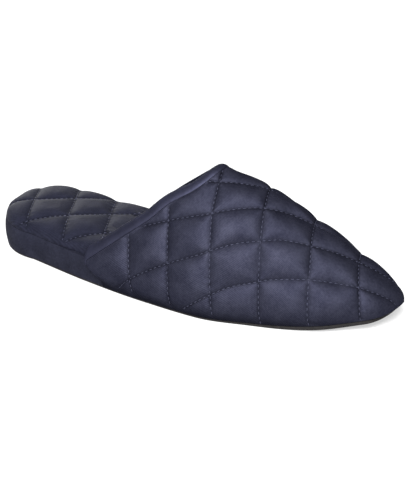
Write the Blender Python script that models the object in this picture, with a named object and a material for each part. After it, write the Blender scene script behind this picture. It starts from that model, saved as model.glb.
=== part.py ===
import math

import bmesh
import bpy
import numpy as np

# Lengths are in millimetres. The toe points to +X, the lateral side of this right shoe to -Y.
LENGTH = 262.0
HEEL_X = -LENGTH / 2
TOE_X = LENGTH / 2
TIP_Y = 8.9
HEEL_ROUNDNESS = 2.1
TOE_ROUNDNESS = 3.4
TOE_SPRING = 7.2
SPRING_START_X = 60.0
GAP = 0.3

WEDGE_TUCK = 1.5
WEDGE_BELLY = 0.6
WEDGE_END_LINE = 0.455
WEDGE_SIDE_GAP = 0.75

INSOLE_INSET = 0.9
INSOLE_DRAW_IN = 1.8
INSOLE_SIDE_GAP = 0.9
INSOLE_END_LINE = 0.425
INSOLE_SHOULDER = 3.2
INSOLE_HEEL_ROUND = 20.0

WALL = 3.0
WING_WALL = 1.0
WING_X = {-1: -40.0, 1: -32.0}
WING_LEAN = 9.5
SEAM_HEIGHT = 16.6
SEAM_RISE = 15.3
FRONT_X = 60.0
SIDE_ACROSS = 1.26
TOE_ACROSS = 2.0
TOE_RISE = 1.5
WING_BULGE = 1.6
SIDE_BULGE = 2.7
BULGE_HEIGHT = 9.0
CROWN_SPREAD = 0.36

BINDING_WIDTH = 7.6
BINDING_ROLL = 2.0

QUILT_PITCH = 25.5
QUILT_DEPTH = 1.1
QUILT_PUFF = 0.9
QUILT_CHANNEL = 3.4

# slant across the shoe, place of the first line, spacing along the shoe
INSOLE_RIBS = (0.39, -112.7, 27.4)
INSOLE_ROWS = (0.6, 67.5, 28.5)

# station x, lateral half width, medial half width
SOLE_PLAN = (
    (-97.0, 28.4, 36.0),
    (-52.0, 38.4, 33.0),
    (-13.0, 44.3, 32.2),
    (26.0, 47.0, 36.0),
    (58.0, 40.8, 36.0),
    (92.0, 31.5, 31.5),
    (115.0, 18.8, 21.5),
)

# station x, thickness of the outsole, how far its edge stands in from the sole's edge
OUTSOLE = (
    (-131.0, 0.9, 2.0),
    (-50.0, 1.2, 1.7),
    (40.0, 1.6, 1.2),
    (100.0, 2.8, 0.4),
    (131.0, 2.8, 0.4),
)

# height, how far the lateral and the medial collar stand forward of the plain curve
COLLAR_BOW = (
    (16.6, 0.0, 0.0),
    (30.0, 2.2, 3.0),
    (45.0, 1.0, 3.0),
    (57.0, -2.6, 3.0),
    (66.0, -0.8, 2.0),
    (74.0, 0.0, 0.0),
)

# station x, height of the wedge's top, thickness of the insole at its crown
FOOTBED = (
    (-131.0, 17.9, 8.4),
    (-97.0, 17.4, 9.2),
    (-50.0, 16.4, 9.0),
    (0.0, 13.2, 7.0),
    (40.0, 10.6, 5.6),
    (80.0, 9.0, 4.6),
    (118.0, 10.6, 3.4),
)

# station x, y, z of the vamp's spine
SPINE = (
    (22.0, 3.0, 76.0),
    (43.0, 4.5, 66.6),
    (60.0, 6.0, 56.2),
)

# station x, ridge height that the quilting is measured down from
QUILT_RIDGE = (
    (-60.0, 112.0),
    (-20.0, 94.0),
    (22.0, 75.0),
    (43.0, 65.3),
    (60.0, 55.3),
    (81.0, 44.5),
    (102.0, 33.5),
    (121.0, 22.0),
    (131.0, 12.0),
)

SATIN = (0.045, 0.05, 0.1, 1.0)
SATIN_PLAIN = (0.055, 0.06, 0.115, 1.0)
FOOTBED_SATIN = (0.035, 0.04, 0.08, 1.0)
SOLE_BROWN = (0.05, 0.045, 0.042, 1.0)


def read_table(rows, column, at):
    stations = np.array([row[0] for row in rows])
    values = np.array([row[column] for row in rows])
    spans = np.diff(stations)
    slopes = np.diff(values) / spans
    tangents = np.zeros(len(stations))
    tangents[0] = slopes[0]
    tangents[-1] = slopes[-1]
    for i in range(1, len(stations) - 1):
        if slopes[i - 1] * slopes[i] > 0:
            before = 2 * spans[i] + spans[i - 1]
            after = spans[i] + 2 * spans[i - 1]
            tangents[i] = (before + after) / (before / slopes[i - 1] + after / slopes[i])
    at = np.clip(np.asarray(at, dtype=float), stations[0], stations[-1])
    k = np.clip(np.searchsorted(stations, at, side="right") - 1, 0, len(spans) - 1)
    t = (at - stations[k]) / spans[k]
    rise = t * t * (3 - 2 * t)
    leave = t * (1 - t) ** 2
    arrive = t * t * (t - 1)
    bend = spans[k] * (tangents[k] * leave + tangents[k + 1] * arrive)
    return values[k] + (values[k + 1] - values[k]) * rise + bend


def smooth_step(t):
    t = np.clip(t, 0, 1)
    return t * t * (3 - 2 * t)


def floor_height(x):
    share = np.clip((np.asarray(x, dtype=float) - SPRING_START_X) / (TOE_X - SPRING_START_X), 0, 1)
    return TOE_SPRING * share**2


def outsole_top(x):
    return floor_height(x) + read_table(OUTSOLE, 1, x)


def sole_edge(x, side):
    x = np.asarray(x, dtype=float)
    half = read_table(SOLE_PLAN, 1 if side < 0 else 2, x)
    heel_start, heel_lateral, heel_medial = SOLE_PLAN[0]
    heel_middle = (heel_medial - heel_lateral) / 2
    heel_half = (heel_medial + heel_lateral) / 2
    back = np.clip((heel_start - x) / (heel_start - HEEL_X), 0, 1)
    heel = heel_middle + side * heel_half * np.sqrt(1 - back**HEEL_ROUNDNESS)
    toe_start = SOLE_PLAN[-1][0]
    front = np.clip((x - toe_start) / (TOE_X - toe_start), 0, 1)
    column = 1 if side < 0 else 2
    slope = (SOLE_PLAN[-1][column] - SOLE_PLAN[-2][column]) / (toe_start - SOLE_PLAN[-2][0])
    straight = side * (half + slope * np.maximum(x - toe_start, 0))
    toe = TIP_Y + (straight - TIP_Y) * np.sqrt(1 - front**TOE_ROUNDNESS)
    return np.where(x < heel_start, heel, np.where(x > toe_start, toe, side * half))


def plan_point(x, side, outward):
    turn = np.arccos(np.clip(-np.asarray(x, dtype=float) / TOE_X, -1, 1))
    step = 0.002
    x_back = -TOE_X * np.cos(np.maximum(turn - step, 0))
    x_front = -TOE_X * np.cos(np.minimum(turn + step, math.pi))
    along_x = x_front - x_back
    along_y = sole_edge(x_front, side) - sole_edge(x_back, side)
    length = np.hypot(along_x, along_y)
    out_x = -side * along_y / length
    out_y = side * along_x / length
    return x + outward * out_x, sole_edge(x, side) + outward * out_y


# Line 0 is the vamp's lateral rear edge, line 0.5 runs over the toe, line 1 is the medial rear edge.
def line_share(line):
    return np.where(line <= 0.5, line / 0.5, (1 - line) / 0.5)


def vamp_foot(line):
    line = np.asarray(line, dtype=float)
    reach = np.sin(line_share(line) * math.pi / 2)
    wing = np.where(line <= 0.5, WING_X[-1], WING_X[1])
    x = wing + (TOE_X - wing) * reach
    y = np.where(line <= 0.5, sole_edge(x, -1), sole_edge(x, 1))
    return np.stack([x, y, outsole_top(x) + GAP], -1)


def vamp_top(line):
    x = SPINE[0][0] + (FRONT_X - SPINE[0][0]) * line_share(line) ** 0.9
    return np.stack([x, read_table(SPINE, 1, x), read_table(SPINE, 2, x)], -1)


def sharp_vamp_point(line, angle):
    line, angle = np.broadcast_arrays(np.asarray(line, dtype=float), np.asarray(angle, dtype=float))
    foot = vamp_foot(line)
    top = vamp_top(line)
    reach = top - foot
    share = line_share(line)
    toe_blend = smooth_step((share - 0.2) / 0.8)
    across = 1 - np.cos(angle) ** (SIDE_ACROSS + (TOE_ACROSS - SIDE_ACROSS) * toe_blend)
    height = reach[..., 2] * np.sin(angle) ** (1 + (TOE_RISE - 1) * toe_blend)
    rear = 1 - smooth_step(share / 0.5)
    forward = rear * np.sin(angle) + (1 - rear) * across
    lean = (WING_LEAN + reach[..., 0] * SEAM_RISE / reach[..., 2]) * rear
    climb = height / SEAM_RISE
    back = lean * np.where(climb < 1, smooth_step(climb), 1 - smooth_step((climb - 1) / 4.2))
    level = foot[..., 2] + height
    bow = np.where(line <= 0.5, read_table(COLLAR_BOW, 1, level), read_table(COLLAR_BOW, 2, level))
    x = foot[..., 0] + reach[..., 0] * forward - back + bow * rear
    y = foot[..., 1] + reach[..., 1] * across
    swell = height / BULGE_HEIGHT
    bulge = WING_BULGE + (SIDE_BULGE - WING_BULGE) * smooth_step(share / 0.3)
    outward = bulge * swell * np.exp(1 - swell) * (1 - smooth_step((swell - 2) / 3))
    step = 0.001
    along = vamp_foot(np.minimum(line + step, 1)) - vamp_foot(np.maximum(line - step, 0))
    length = np.hypot(along[..., 0], along[..., 1])
    x = x + outward * along[..., 1] / length
    y = y - outward * along[..., 0] / length
    return np.stack([x, y, level], -1)


# The two sides meet in a soft crown: near the spine each point is the mean of its neighbours across it.
def vamp_point(line, angle):
    line, angle = np.broadcast_arrays(np.asarray(line, dtype=float), np.asarray(angle, dtype=float))
    spread = CROWN_SPREAD * smooth_step((angle - 0.8) / (math.pi / 2 - 0.8))
    total = 0.0
    for step in (-1.0, -0.5, 0.0, 0.5, 1.0):
        turned = angle + step * spread
        beyond = turned > math.pi / 2
        side_line = np.where(beyond, 1 - line, line)
        side_angle = np.where(beyond, math.pi - turned, turned)
        total = total + sharp_vamp_point(side_line, side_angle)
    return total / 5


def unit(vector):
    return vector / np.linalg.norm(vector, axis=-1, keepdims=True)


def vamp_normal(line, angle):
    angle = np.clip(angle, math.radians(2), math.radians(87))
    line_step = 0.002
    angle_step = 0.01
    ahead = vamp_point(np.minimum(line + line_step, 1), angle)
    behind = vamp_point(np.maximum(line - line_step, 0), angle)
    upward = vamp_point(line, angle + angle_step) - vamp_point(line, angle - angle_step)
    return unit(np.cross(ahead - behind, upward))


def wall_depth(line, height):
    low = 1 - smooth_step((height - SEAM_HEIGHT) / 12)
    rear = 1 - smooth_step(line_share(line) / 0.15)
    return WALL - (WALL - WING_WALL) * low * rear


# The point at a given height inside the vamp's wall, further in by the clearance.
def inside_point(line, height, clearance):
    angles = np.linspace(0, 1.2, 241)
    outer = vamp_point(line, angles)
    normals = vamp_normal(np.full(len(angles), line), angles)
    depth = wall_depth(line, outer[:, 2]) + clearance
    inner = outer - normals * depth[:, None]
    x = np.interp(height, inner[:, 2], inner[:, 0])
    y = np.interp(height, inner[:, 2], inner[:, 1])
    return np.array([x, y, height])


# The quilting is straight ribs and rows in the vamp's own length and girth, counted in whole lines.
def vamp_quilt(point):
    x = point[..., 0] / 100
    middle = read_table(SPINE + ((131.0, TIP_Y, 0.0),), 1, point[..., 0])
    drop = np.maximum(read_table(QUILT_RIDGE, 1, point[..., 0]) - point[..., 2], 0)
    offset = point[..., 1] - middle
    girth = np.sign(offset) * np.hypot(offset, drop) * 0.0106
    ribs = (x + 0.299 * girth + 0.033 * girth**2 - 0.06 * x * girth + 0.467) / 0.31
    sag = 0.221 * girth * np.abs(girth)
    rows = (girth - 0.601 * x + 0.025 * x**2 + 0.075 * x * girth - sag + 0.235) / 0.205
    return ribs, rows


def insole_quilt(point):
    rib_slant, rib_start, rib_spacing = INSOLE_RIBS
    row_slant, row_start, row_spacing = INSOLE_ROWS
    ribs = (point[0] + rib_slant * point[1] - rib_start) / rib_spacing
    rows = (point[1] - row_slant * point[0] - row_start) / row_spacing
    return ribs, rows


def quilt_height(ribs, rows):
    rib_gap = np.abs(ribs - np.round(ribs))
    row_gap = np.abs(rows - np.round(rows))
    nearest = np.minimum(rib_gap, row_gap) * QUILT_PITCH
    pillow = np.sin(math.pi * rib_gap) * np.sin(math.pi * row_gap)
    return QUILT_PUFF * pillow - QUILT_DEPTH * np.exp(-((nearest / QUILT_CHANNEL) ** 2))


def add_object(name, mesh_data, colour, roughness):
    bmesh.ops.remove_doubles(mesh_data, verts=mesh_data.verts, dist=0.00002)
    bmesh.ops.dissolve_degenerate(mesh_data, edges=mesh_data.edges, dist=0.00002)
    bmesh.ops.triangulate(mesh_data, faces=mesh_data.faces, quad_method="SHORT_EDGE")
    bmesh.ops.recalc_face_normals(mesh_data, faces=mesh_data.faces)
    mesh = bpy.data.meshes.new(name)
    mesh_data.to_mesh(mesh)
    mesh_data.free()
    material = bpy.data.materials.new(name)
    material.use_nodes = True
    shader = material.node_tree.nodes["Principled BSDF"]
    shader.inputs["Base Color"].default_value = colour
    shader.inputs["Roughness"].default_value = roughness
    mesh.materials.append(material)
    item = bpy.data.objects.new(name, mesh)
    bpy.context.scene.collection.objects.link(item)
    return item


def to_metres(points):
    return (np.asarray(points) + np.array([CENTRE_X, CENTRE_Y, 0.0])) * 0.001


def loft(rings):
    mesh_data = bmesh.new()
    loops = [[mesh_data.verts.new(point) for point in to_metres(ring)] for ring in rings]
    for before, after in zip(loops, loops[1:]):
        for i in range(len(before)):
            j = (i + 1) % len(before)
            mesh_data.faces.new((before[i], before[j], after[j], after[i]))
    mesh_data.faces.new(loops[0])
    mesh_data.faces.new(reversed(loops[-1]))
    return mesh_data


def build_outsole():
    rings = []
    for turn in np.radians(np.linspace(4, 176, 58)):
        x = -TOE_X * math.cos(turn)
        ring = []
        for side, lift, inset in ((-1, 0.0, 0.4), (-1, 0.6, 0.0), (-1, 1.0, 0.0),
                                  (1, 1.0, 0.0), (1, 0.6, 0.0), (1, 0.0, 0.4)):
            px, py = plan_point(x, side, -read_table(OUTSOLE, 2, x) - inset)
            ring.append((px, py, floor_height(px) + (outsole_top(px) - floor_height(px)) * lift))
        rings.append(ring)
    return add_object("outsole", loft(rings), SOLE_BROWN, 0.85)


def wedge_top(x):
    return read_table(FOOTBED, 1, x)


def wedge_bottom(x):
    return outsole_top(x) + GAP


# Shares of the wedge's height, bottom to top, and how far each stands in from the sole's edge.
WEDGE_LEVELS = (0.0, 0.06, 0.18, 0.35, 0.55, 0.75, 0.9, 1.0)


def heel_side(x, side, level):
    blend = smooth_step((x + 100) / 48)
    shift = WING_LEAN * (1 - level) + (WING_X[side] - WING_X[-1])
    station = x + blend * shift
    tuck = WEDGE_TUCK * (1 - level) ** 3 + 0.8 * level**8
    belly = WEDGE_BELLY * math.sin(math.pi * level) * (1 - blend)
    px, py = plan_point(station, side, belly - tuck - 0.5 * blend)
    low = wedge_bottom(station)
    return px, py, low + (wedge_top(station) - low) * level


def build_wedge():
    rings = []
    rear_x = WING_X[-1] - WING_LEAN
    for turn in np.radians(np.linspace(5, 66, 20)):
        x = HEEL_X + (rear_x - 3 - HEEL_X) * (1 - math.cos(turn * 90 / 66))
        near = [heel_side(x, -1, level) for level in WEDGE_LEVELS]
        far = [heel_side(x, 1, level) for level in reversed(WEDGE_LEVELS)]
        rings.append(near + far)
    for line in np.linspace(0.012, WEDGE_END_LINE, 22):
        low = wedge_bottom(vamp_foot(line)[0])
        top = wedge_top(vamp_foot(line)[0])
        heights = [low + (top - low) * level for level in WEDGE_LEVELS]
        near = [inside_point(line, height, WEDGE_SIDE_GAP) for height in heights]
        far = [inside_point(1 - line, height, WEDGE_SIDE_GAP) for height in reversed(heights)]
        rings.append(near + far)
    return add_object("sole_wedge", loft(rings), SATIN_PLAIN, 0.5)


def insole_ring(near, far):
    ring = []
    middle = (near + far) / 2
    base = wedge_top(middle[0]) + GAP
    heel_end = np.clip(1 - (middle[0] - HEEL_X - INSOLE_INSET) / INSOLE_HEEL_ROUND, 0, 1)
    crown = read_table(FOOTBED, 2, middle[0]) * math.sqrt(1 - heel_end**INSOLE_SHOULDER)
    for t in np.cos(np.linspace(math.pi, 0, 21)):
        point = middle + (far - near) / 2 * t
        rise = crown * max(1 - abs(t) ** INSOLE_SHOULDER, 0) ** 0.5
        point = np.array([point[0], point[1], base + rise])
        calm = smooth_step((1 - abs(t)) / 0.12) * (1 - smooth_step(heel_end * 2 - 1))
        point[2] += quilt_height(*insole_quilt(point)) * calm
        ring.append(point)
    for t in (0.5, 0.0, -0.5):
        point = middle + (far - near) / 2 * t
        ring.append(np.array([point[0], point[1], base]))
    return ring


def build_insole():
    rings = []
    rear_x = WING_X[-1] - WING_LEAN
    for turn in np.radians(np.linspace(7, 90, 24)):
        x = HEEL_X + (rear_x - 4 - HEEL_X) * (1 - math.cos(turn))
        blend = smooth_step((x + 85) / 30)
        edges = []
        for side in (-1, 1):
            station = x + blend * (WING_X[side] - WING_X[-1])
            px, py = plan_point(station, side, -INSOLE_INSET - INSOLE_DRAW_IN * blend)
            edges.append(np.array([px, py, 0.0]))
        rings.append(insole_ring(edges[0], edges[1]))
    for line in np.linspace(0.01, INSOLE_END_LINE, 26):
        height = wedge_top(vamp_foot(line)[0]) + GAP + 2.0
        clearance = INSOLE_SIDE_GAP + WALL - wall_depth(line, 0.0)
        near = inside_point(line, height, clearance)
        far = inside_point(1 - line, height, clearance)
        rings.append(insole_ring(near, far))
    return add_object("insole", loft(rings), FOOTBED_SATIN, 0.6)


def build_upper():
    line_count, angle_count = 96, 26
    lines = np.linspace(0, 1, line_count + 1)
    angles = np.linspace(0, 1, angle_count + 1) ** 1.25 * math.pi / 2
    grid_lines, grid_angles = np.meshgrid(lines, angles, indexing="ij")
    smooth = vamp_point(grid_lines, grid_angles)
    normals = vamp_normal(grid_lines, grid_angles)
    normals[:, -1] = unit(normals[:, -1] + normals[::-1, -1])
    smooth[:, -1] = (smooth[:, -1] + smooth[::-1, -1]) / 2
    calm = smooth_step(grid_angles / 0.12) * smooth_step(line_share(grid_lines) / 0.03)
    calm = calm * (1 - 0.7 * smooth_step((smooth[..., 0] - 112) / 18))
    outer = smooth + normals * (quilt_height(*vamp_quilt(smooth)) * calm)[..., None]
    inner = smooth - normals * wall_depth(grid_lines, smooth[..., 2])[..., None]
    mesh_data = bmesh.new()
    skin = [[mesh_data.verts.new(point) for point in row] for row in to_metres(outer)]
    lining = [[mesh_data.verts.new(point) for point in row] for row in to_metres(inner[::2, ::2])]
    for i in range(line_count):
        for j in range(angle_count):
            mesh_data.faces.new((skin[i][j], skin[i + 1][j], skin[i + 1][j + 1], skin[i][j + 1]))
    for i in range(line_count // 2):
        for j in range(angle_count // 2):
            mesh_data.faces.new((lining[i][j], lining[i][j + 1], lining[i + 1][j + 1], lining[i + 1][j]))
        hem = [skin[k][0] for k in (2 * i + 2, 2 * i + 1, 2 * i)]
        mesh_data.faces.new(hem + [lining[i][0], lining[i + 1][0]])
    for j in range(angle_count // 2):
        for fine, coarse in ((skin[0], lining[0]), (skin[-1], lining[-1])):
            mesh_data.faces.new((fine[2 * j], fine[2 * j + 1], fine[2 * j + 2], coarse[j + 1], coarse[j]))
    return add_object("upper", mesh_data, SATIN, 0.45)


# The binding's section: share of its width behind the seam, share of its thickness inwards.
BINDING_SECTION = (
    (0.0, 0.0),
    (0.25, -0.08),
    (0.6, -0.06),
    (0.86, 0.12),
    (1.0, 0.48),
    (0.9, 0.86),
    (0.6, 1.0),
    (0.25, 1.0),
    (0.0, 1.0),
)


# The strip's end runs on along the collar until it stands level on the sole's seam.
def seat_end(ring, along, side):
    seated = []
    for point in ring:
        slide = (point[2] - SEAM_HEIGHT - GAP) / along[2]
        moved = point - along * slide
        moved[1] += sole_edge(moved[0], side) - sole_edge(point[0], side)
        seated.append(moved)
    return seated


def build_binding():
    foot_height = vamp_foot(0.0)[2]
    start = math.asin((SEAM_HEIGHT + 1.0 - foot_height) / (SPINE[0][2] - foot_height))
    angles = np.linspace(start, math.pi / 2, 28)
    path = [(0.0, angle) for angle in angles] + [(1.0, angle) for angle in angles[-2::-1]]
    points = np.array([vamp_point(line, angle) for line, angle in path])
    normals = np.array([vamp_normal(line, angle) for line, angle in path])
    middle = len(angles) - 1
    normals[middle] = unit(normals[middle - 1] + normals[middle + 1])
    along = unit(np.gradient(points, axis=0))
    backward = unit(np.cross(normals, along))
    rings = []
    for point, normal, back in zip(points, normals, backward):
        thick = 1.2 + (WALL - 1.2) * smooth_step((point[2] - SEAM_HEIGHT) / 12)
        ring = []
        for width, depth in BINDING_SECTION:
            behind = GAP + BINDING_WIDTH * width
            inward = thick * depth + BINDING_ROLL * width**2
            ring.append(point + back * behind - normal * inward)
        rings.append(ring)
    rings.insert(0, seat_end(rings[0], along[0], -1))
    rings.append(seat_end(rings[-1], -along[-1], 1))
    return add_object("collar_binding", loft(rings), SATIN_PLAIN, 0.4)


CENTRE_X = -0.29
CENTRE_Y = 5.18

for old in list(bpy.data.objects):
    bpy.data.objects.remove(old, do_unlink=True)

build_outsole()
build_wedge()
build_insole()
build_upper()
build_binding()
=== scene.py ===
import math
from functools import partial
import bpy
import numpy as np
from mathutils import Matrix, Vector
from mathutils.kdtree import KDTree


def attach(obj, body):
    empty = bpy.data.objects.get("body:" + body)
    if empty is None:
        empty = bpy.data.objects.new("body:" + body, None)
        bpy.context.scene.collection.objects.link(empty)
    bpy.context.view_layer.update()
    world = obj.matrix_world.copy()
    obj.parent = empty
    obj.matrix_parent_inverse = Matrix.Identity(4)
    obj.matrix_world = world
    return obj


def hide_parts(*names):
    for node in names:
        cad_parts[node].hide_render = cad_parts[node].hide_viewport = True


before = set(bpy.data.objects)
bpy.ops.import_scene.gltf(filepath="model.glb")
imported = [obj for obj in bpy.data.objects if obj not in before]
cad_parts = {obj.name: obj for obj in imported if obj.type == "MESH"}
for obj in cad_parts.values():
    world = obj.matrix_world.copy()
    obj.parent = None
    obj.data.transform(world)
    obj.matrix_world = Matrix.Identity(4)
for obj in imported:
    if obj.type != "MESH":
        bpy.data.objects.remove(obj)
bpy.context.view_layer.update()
print("frame loaded")

# the shoe's own sizes in millimetres: toe to +x, the lateral side of this right shoe to -y
last = {
    "heelX": -131.0, "toeX": 131.0, "tipY": 8.9, "heelRoundness": 2.1, "toeRoundness": 3.4,
    "toeSpring": 7.2, "springStartX": 60.0, "gap": 0.3, "centre": (-0.29, 5.18, 0.0),
    "solePlan": ((-97, 28.4, 36), (-52, 38.4, 33), (-13, 44.3, 32.2), (26, 47, 36),
                 (58, 40.8, 36), (92, 31.5, 31.5), (115, 18.8, 21.5)),  # x, lateral, medial
    "footbed": ((-131, 17.9, 8.4), (-97, 17.4, 9.4), (-50, 16.4, 10.0), (0, 13.2, 7.6),
                (40, 10.6, 5.6), (80, 9.0, 4.6), (118, 10.6, 3.4)),  # x, wedge top, insole crown
    "spine": ((22, 3.0, 76.0), (43, 4.5, 66.6), (60, 6.0, 56.2)),  # x, y, z
    "quiltRidge": ((-60, 3, 112), (-20, 3, 94)),  # x, y, z of the ridge, run on behind the collar's peak
    "outsole": ((-131, 0.9, 0.6), (-50, 1.2, 0.6), (40, 1.6, 0.5), (100, 2.8, 0.4),
                (118, 2.8, 0.6), (131, 2.8, 2.6)),  # x, thickness, how far its edge stands in
    "collarBow": ((16.6, 0, 0), (30, 2.2, 3.0), (45, 1.6, 3.0), (57, -2.0, 3.0), (66, 0.4, 2.0),
                  (74, 0, 0)),  # height, forward of the plain curve on the lateral and medial side
    "seamHeight": 16.6, "seamRise": 15.3, "wingX": {-1: -40.0, 1: -32.0}, "wingLean": 9.5,
    "wall": 3.0, "wingWall": 1.0, "wallGrowth": 12, "sideAcross": 1.26, "toeAcross": 2.0, "toeRise": 1.5,
    "wingBulge": 1.6, "sideBulge": 2.7, "bulgeHeight": 9.0, "crownSpread": 0.7, "crownSteps": 9,
    "topEase": 0.9, "rearShare": 0.5, "bulgeShare": 0.3, "wallShare": 0.15,  # shares of the way to the toe
    "toeFrom": (0.2, 0.8), "leanFade": (1, 4.2), "bulgeFade": (2, 3), "crownFrom": 0.8,  # start and length
}


def readTable(rows, column, at):
    stations = np.array([row[0] for row in rows], dtype=float)
    values = np.array([row[column] for row in rows], dtype=float)
    spans = np.diff(stations)
    slopes = np.diff(values) / spans
    tangents = np.zeros(len(stations))
    tangents[0], tangents[-1] = slopes[0], slopes[-1]
    for i in range(1, len(stations) - 1):
        if slopes[i - 1] * slopes[i] > 0:
            before = 2 * spans[i] + spans[i - 1]
            after = spans[i] + 2 * spans[i - 1]
            tangents[i] = (before + after) / (before / slopes[i - 1] + after / slopes[i])
    at = np.clip(np.asarray(at, dtype=float), stations[0], stations[-1])
    k = np.clip(np.searchsorted(stations, at, side="right") - 1, 0, len(spans) - 1)
    t = (at - stations[k]) / spans[k]
    bend = spans[k] * (tangents[k] * t * (1 - t) ** 2 + tangents[k + 1] * t * t * (t - 1))
    return values[k] + (values[k + 1] - values[k]) * t * t * (3 - 2 * t) + bend


def smoothStep(t):
    t = np.clip(t, 0, 1)
    return t * t * (3 - 2 * t)


def ramp(value, start, length):
    return smoothStep((value - start) / length)


def unit(vectors):
    return vectors / np.maximum(np.linalg.norm(vectors, axis=-1, keepdims=True), 1e-9)


def floorHeight(x):
    share = (np.asarray(x, dtype=float) - last["springStartX"]) / (last["toeX"] - last["springStartX"])
    return last["toeSpring"] * np.clip(share, 0, 1) ** 2


def outsoleTop(x):
    return floorHeight(x) + readTable(last["outsole"], 1, x)


def soleEdge(x, side):
    x = np.asarray(x, dtype=float)
    column = 1 if side < 0 else 2
    half = readTable(last["solePlan"], column, x)
    heelStart, heelLateral, heelMedial = last["solePlan"][0]
    back = np.clip((heelStart - x) / (heelStart - last["heelX"]), 0, 1)
    heelHalf = (heelMedial + heelLateral) / 2 * np.sqrt(1 - back ** last["heelRoundness"])
    heel = (heelMedial - heelLateral) / 2 + side * heelHalf
    beforeToe, toeRow = last["solePlan"][-2:]
    toeStart = toeRow[0]
    front = np.clip((x - toeStart) / (last["toeX"] - toeStart), 0, 1)
    slope = (toeRow[column] - beforeToe[column]) / (toeStart - beforeToe[0])
    straight = side * (half + slope * np.maximum(x - toeStart, 0))
    toe = last["tipY"] + (straight - last["tipY"]) * np.sqrt(1 - front ** last["toeRoundness"])
    return np.where(x < heelStart, heel, np.where(x > toeStart, toe, side * half))


def planPoint(x, side, outward):
    toeX = last["toeX"]
    turn = np.arccos(np.clip(-np.asarray(x, dtype=float) / toeX, -1, 1))
    xBack = -toeX * np.cos(np.maximum(turn - 0.002, 0))
    xFront = -toeX * np.cos(np.minimum(turn + 0.002, math.pi))
    alongX = xFront - xBack
    alongY = soleEdge(xFront, side) - soleEdge(xBack, side)
    length = np.hypot(alongX, alongY)
    return x - outward * side * alongY / length, soleEdge(x, side) + outward * side * alongX / length


# line 0 is the vamp's lateral rear edge, 0.5 runs over the toe, 1 is the medial rear edge
def lineShare(line):
    return np.where(line <= 0.5, line / 0.5, (1 - line) / 0.5)


def vampFoot(line):
    line = np.asarray(line, dtype=float)
    wing = np.where(line <= 0.5, last["wingX"][-1], last["wingX"][1])
    x = wing + (last["toeX"] - wing) * np.sin(lineShare(line) * math.pi / 2)
    y = np.where(line <= 0.5, soleEdge(x, -1), soleEdge(x, 1))
    return np.stack([x, y, outsoleTop(x) + last["gap"]], -1)


def vampTop(line):
    spine = last["spine"]
    x = spine[0][0] + (spine[-1][0] - spine[0][0]) * lineShare(line) ** last["topEase"]
    return np.stack([x, readTable(spine, 1, x), readTable(spine, 2, x)], -1)


def sharpVampPoint(line, angle):
    line, angle = np.broadcast_arrays(np.asarray(line, dtype=float), np.asarray(angle, dtype=float))
    foot = vampFoot(line)
    reach = vampTop(line) - foot
    share = lineShare(line)
    toeBlend = ramp(share, *last["toeFrom"])
    bend = last["sideAcross"] + (last["toeAcross"] - last["sideAcross"]) * toeBlend
    across = 1 - np.cos(angle) ** bend
    height = reach[..., 2] * np.sin(angle) ** (1 + (last["toeRise"] - 1) * toeBlend)
    rear = 1 - smoothStep(share / last["rearShare"])
    forward = rear * np.sin(angle) + (1 - rear) * across
    lean = (last["wingLean"] + reach[..., 0] * last["seamRise"] / reach[..., 2]) * rear
    climb = height / last["seamRise"]
    back = lean * np.where(climb < 1, smoothStep(climb), 1 - ramp(climb, *last["leanFade"]))
    level = foot[..., 2] + height
    bow = np.where(line <= 0.5, readTable(last["collarBow"], 1, level),
                   readTable(last["collarBow"], 2, level))
    swell = height / last["bulgeHeight"]
    grown = smoothStep(share / last["bulgeShare"])
    bulge = last["wingBulge"] + (last["sideBulge"] - last["wingBulge"]) * grown
    outward = bulge * swell * np.exp(1 - swell) * (1 - ramp(swell, *last["bulgeFade"]))
    along = vampFoot(np.minimum(line + 0.001, 1)) - vampFoot(np.maximum(line - 0.001, 0))
    length = np.hypot(along[..., 0], along[..., 1])
    x = foot[..., 0] + reach[..., 0] * forward - back + bow * rear + outward * along[..., 1] / length
    y = foot[..., 1] + reach[..., 1] * across - outward * along[..., 0] / length
    return np.stack([x, y, level], -1)


def vampPoint(line, angle):
    line, angle = np.broadcast_arrays(np.asarray(line, dtype=float), np.asarray(angle, dtype=float))
    spread = last["crownSpread"] * ramp(angle, last["crownFrom"], math.pi / 2 - last["crownFrom"])
    total, shares = 0.0, 0.0
    # a soft crown: the mean of neighbours over the spine
    for step in np.linspace(-1, 1, last["crownSteps"] + 2)[1:-1]:
        turned = angle + step * spread
        beyond = turned > math.pi / 2
        sideLine = np.where(beyond, 1 - line, line)
        sideAngle = np.where(beyond, math.pi - turned, turned)
        share = math.cos(step * math.pi / 2) ** 2
        total = total + share * sharpVampPoint(sideLine, np.clip(sideAngle, 0, math.pi / 2))
        shares = shares + share
    return total / shares


def vampNormal(line, angle):
    angle = np.clip(angle, math.radians(2), math.radians(87))
    ahead = vampPoint(np.minimum(line + 0.002, 1), angle)
    behind = vampPoint(np.maximum(line - 0.002, 0), angle)
    upward = vampPoint(line, angle + 0.01) - vampPoint(line, angle - 0.01)
    return unit(np.cross(ahead - behind, upward))


def wallDepth(line, height):
    low = 1 - ramp(height, last["seamHeight"], last["wallGrowth"])
    rear = 1 - smoothStep(lineShare(line) / last["wallShare"])
    return last["wall"] - (last["wall"] - last["wingWall"]) * low * rear


def insidePoint(line, height, clearance):
    angles = np.linspace(0, 1.2, 241)
    outer = vampPoint(line, angles)
    depth = wallDepth(line, outer[:, 2]) + clearance
    inner = outer - vampNormal(np.full(len(angles), line), angles) * depth[:, None]
    x = np.interp(height, inner[:, 2], inner[:, 0])
    y = np.interp(height, inner[:, 2], inner[:, 1])
    return np.stack([x, y, height], -1)


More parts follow.
